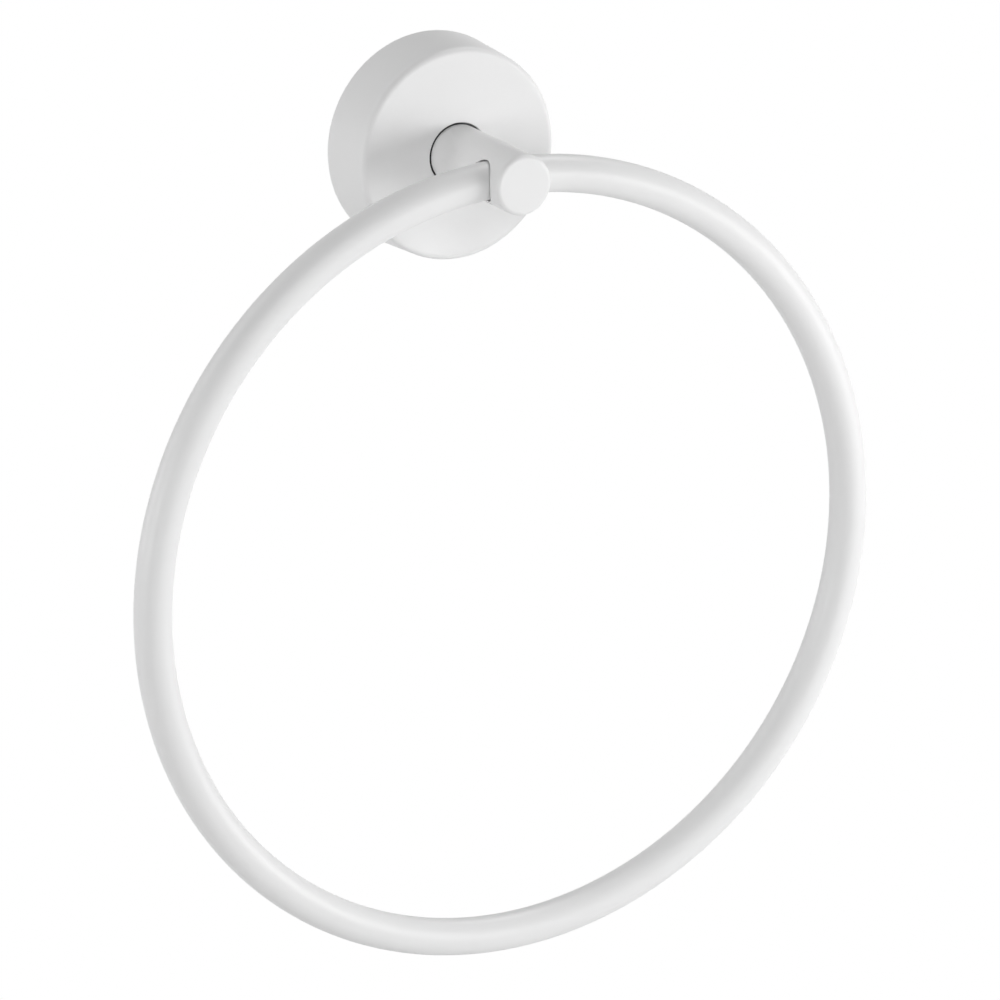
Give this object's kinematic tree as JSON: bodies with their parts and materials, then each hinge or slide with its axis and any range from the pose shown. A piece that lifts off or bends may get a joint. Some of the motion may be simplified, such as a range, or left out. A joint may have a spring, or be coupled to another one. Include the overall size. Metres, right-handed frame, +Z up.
{
  "type": "towel ring",
  "caption": "Wall-mounted towel ring: a round post stands out of a deep round cover, and a full ring of round bar swings in a bore through its tip.",
  "frame": {"origin": "middle of the wall face, on the post's axis", "axes": "+Y into the wall along the post's axis, the front faces -Y; +Z up; +X to the right seen from the front"},
  "size_m": [0.18, 0.0438, 0.1999],
  "materials": {
    "white_coat_cover": "matte powder coat",
    "white_coat_post": "matte powder coat",
    "white_coat_ring": "matte powder coat",
    "steel_screw": "satin",
    "cast_plate": "cast, lightly blasted",
    "grip_rubber": "matte"
  },
  "bodies": {
    "bracket": {"cover": "white_coat_cover", "post": "white_coat_post", "wall_plate": "cast_plate", "post_lock_screw": "steel_screw", "cover_grip_ring": "grip_rubber"},
    "ring": {"ring": "white_coat_ring"}
  },
  "joints": [
    {"name": "ring_swing", "type": "hinge", "parent": "bracket", "child": "ring", "pos_m": [0, -0.036, 0], "axis": [1, 0, 0], "range_deg": [-190.5, 10.5]}
  ]
}
